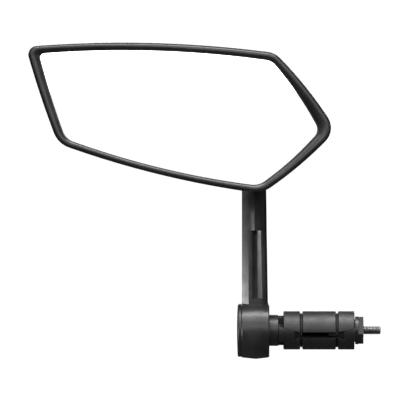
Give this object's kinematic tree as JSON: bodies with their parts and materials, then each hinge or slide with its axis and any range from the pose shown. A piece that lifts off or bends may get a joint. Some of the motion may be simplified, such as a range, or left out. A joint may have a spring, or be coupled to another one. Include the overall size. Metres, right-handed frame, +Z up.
{
  "type": "bar-end bicycle mirror",
  "caption": "Bar-end bicycle mirror: convex five-sided glass in a black rim, on a kinked arm with a hub, fixed by an expander plug with wedges and jaws.",
  "frame": {"origin": "on the expander plug's axis, at the hub's inboard face, where the handlebar ends", "axes": "+X inboard along the handlebar, -Y towards the rider, +Z up"},
  "size_m": [0.1675, 0.0379, 0.1504],
  "materials": {
    "satin_black_rim": "satin",
    "mirror": "silvered",
    "foam_pad": "foam",
    "black_plastic": "fine moulded grain",
    "white_plastic": "natural acetal",
    "black_alloy": "satin black anodised",
    "black_cap": "satin",
    "black_wedge": "satin, glass filled",
    "black_jaw": "satin, glass filled",
    "black_rubber": "matt",
    "plated_steel": "zinc plated"
  },
  "bodies": {
    "head": {"front_bezel": "satin_black_rim", "mirror_glass": "mirror", "glass_pad": "foam_pad", "backing_plate": "black_plastic", "rear_housing": "black_plastic", "socket_cover": "black_plastic", "socket_screws": "plated_steel", "disc_spring": "plated_steel"},
    "socket_ring": {"pressure_ring": "white_plastic"},
    "ball_seats": {"ball_seat_front": "white_plastic", "ball_seat_rear": "white_plastic"},
    "arm": {"arm": "black_alloy", "ball_stud": "plated_steel", "flat_washer": "plated_steel", "spring_washer": "plated_steel", "friction_washer": "white_plastic"},
    "cap": {"hub_cap": "black_cap"},
    "bar_mount": {"inner_wedge": "black_wedge"},
    "bolt": {"clamp_bolt": "plated_steel"},
    "upper_jaw": {"jaw_upper": "black_jaw"},
    "lower_jaw": {"jaw_lower": "black_jaw"},
    "o_rings": {"o_ring_outboard": "black_rubber", "o_ring_inboard": "black_rubber"},
    "end_wedge": {"outer_wedge": "black_wedge", "wedge_nut": "plated_steel"}
  },
  "joints": [
    {"name": "arm_swing", "type": "hinge", "parent": "bar_mount", "child": "arm", "pos_m": [0, 0, 0], "axis": [1, 0, 0], "continuous": true},
    {"name": "cap_pull", "type": "slide", "parent": "arm", "child": "cap", "axis": [-1, 0, 0], "range_m": [0, 0.012]},
    {"name": "head_pan", "type": "hinge", "parent": "arm", "child": "ball_seats", "pos_m": [-0.0073, -0.0065, 0.084], "axis": [0, 0, 1], "range_deg": [-20, 20]},
    {"name": "head_tilt", "type": "hinge", "parent": "ball_seats", "child": "socket_ring", "pos_m": [-0.0073, -0.0065, 0.084], "axis": [1, 0, 0], "range_deg": [-15, 15]},
    {"name": "head_roll", "type": "hinge", "parent": "socket_ring", "child": "head", "pos_m": [-0.0073, -0.0065, 0.084], "axis": [0, 1, 0], "range_deg": [-20, 20]},
    {"name": "bolt_turn", "type": "hinge", "parent": "bar_mount", "child": "bolt", "pos_m": [0, 0, 0], "axis": [1, 0, 0], "range_deg": [0, 2265.26]},
    {"name": "end_wedge_draw", "type": "slide", "parent": "bar_mount", "child": "end_wedge", "axis": [-1, 0, 0], "range_m": [0, 0.0044]},
    {"name": "upper_jaw_spread", "type": "slide", "parent": "bar_mount", "child": "upper_jaw", "axis": [-0.9659, -0.067, 0.25], "range_m": [0, 0.00228]},
    {"name": "lower_jaw_spread", "type": "slide", "parent": "bar_mount", "child": "lower_jaw", "axis": [-0.9659, 0.067, -0.25], "range_m": [0, 0.00228]},
    {"name": "o_ring_ride", "type": "slide", "parent": "bar_mount", "child": "o_rings", "axis": [-1, 0, 0], "range_m": [0, 0.0022], "deforming": ["o_ring_outboard", "o_ring_inboard"]}
  ],
  "couplings": [
    {"joint": "bolt_turn", "follows": "end_wedge_draw", "rad_per_m": 8976},
    {"joint": "upper_jaw_spread", "follows": "end_wedge_draw", "ratio": 0.51764},
    {"joint": "lower_jaw_spread", "follows": "end_wedge_draw", "ratio": 0.51764},
    {"joint": "o_ring_ride", "follows": "end_wedge_draw", "ratio": 0.5}
  ]
}
